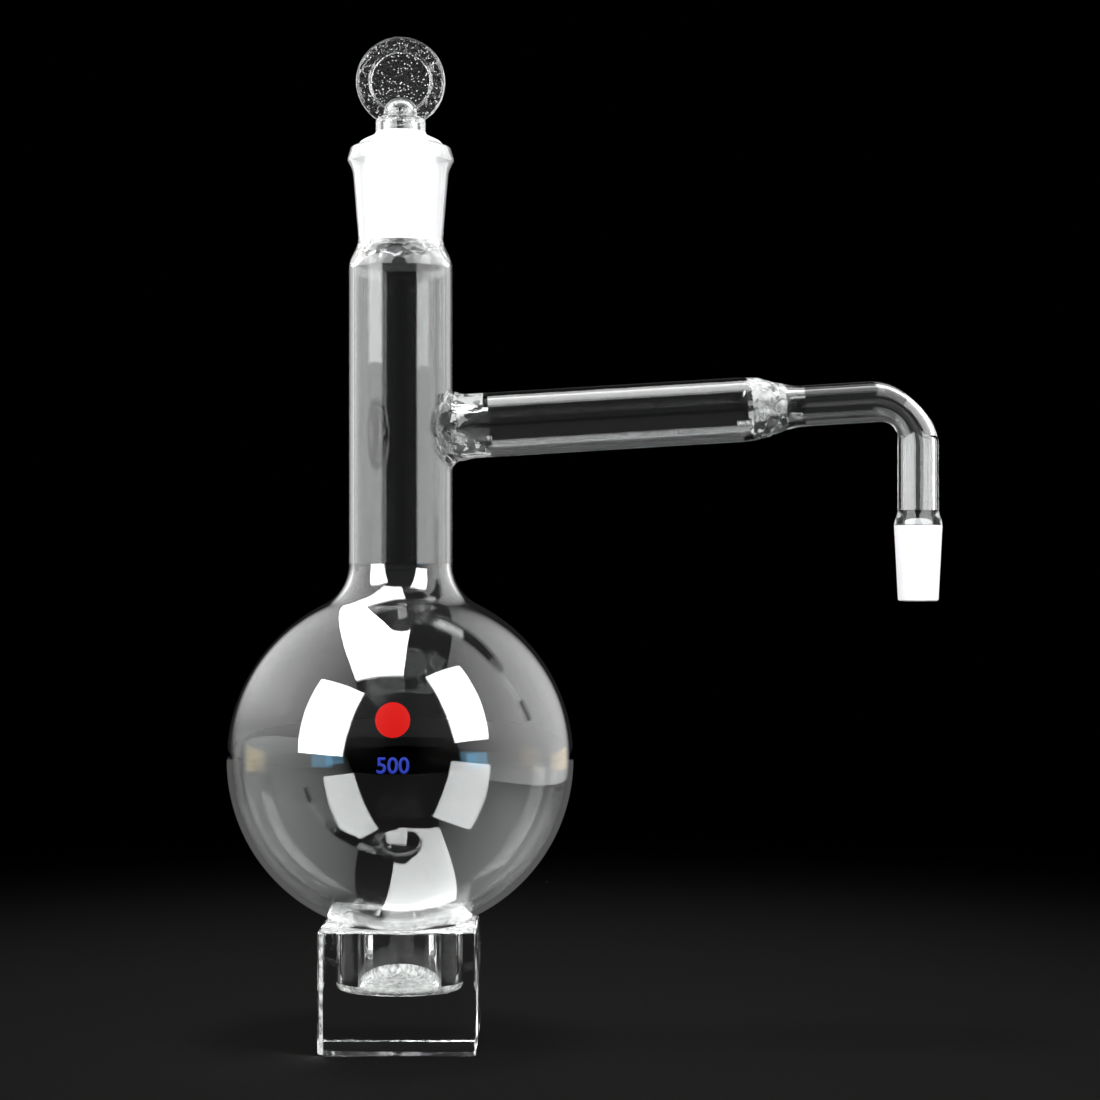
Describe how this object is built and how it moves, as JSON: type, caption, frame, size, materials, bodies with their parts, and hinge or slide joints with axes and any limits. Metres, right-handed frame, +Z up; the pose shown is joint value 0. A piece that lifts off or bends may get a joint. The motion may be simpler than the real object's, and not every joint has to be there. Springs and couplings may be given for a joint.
{
  "type": "side-arm distillation flask",
  "caption": "Round-bottom glass flask with a tall neck, a bent side arm ending in a ground cone, a ground glass stopper and a clear block to stand in.",
  "frame": {"origin": "centre of the stand block's underside, on the axis of the bulb and neck", "axes": "+Z up along the neck, +X towards the side arm, +Y to the back"},
  "size_m": [0.2172, 0.105, 0.3054],
  "materials": {
    "clear_glass": "clear, fire polished borosilicate",
    "ground_glass": "finely ground, frosted white",
    "acrylic": "clear cast acrylic with polished edges"
  },
  "bodies": {
    "stand": {"stand_block": "acrylic"},
    "flask": {"bulb": "clear_glass", "neck_tube": "clear_glass", "neck_socket": "ground_glass", "side_arm_weld": "clear_glass", "side_arm_tube": "clear_glass", "reducer_weld": "clear_glass", "delivery_tube": "clear_glass", "outlet_cone": "ground_glass"},
    "stopper": {"stopper_plug": "ground_glass", "stopper_tip": "clear_glass", "stopper_crown": "clear_glass", "stopper_disc": "clear_glass"}
  },
  "joints": [
    {"name": "flask_lift", "type": "slide", "parent": "stand", "child": "flask", "axis": [0, 0, 1], "range_m": [0, 0.04]},
    {"name": "stopper_lift", "type": "slide", "parent": "flask", "child": "stopper", "axis": [0, 0, 1], "range_m": [0, 0.05]}
  ]
}
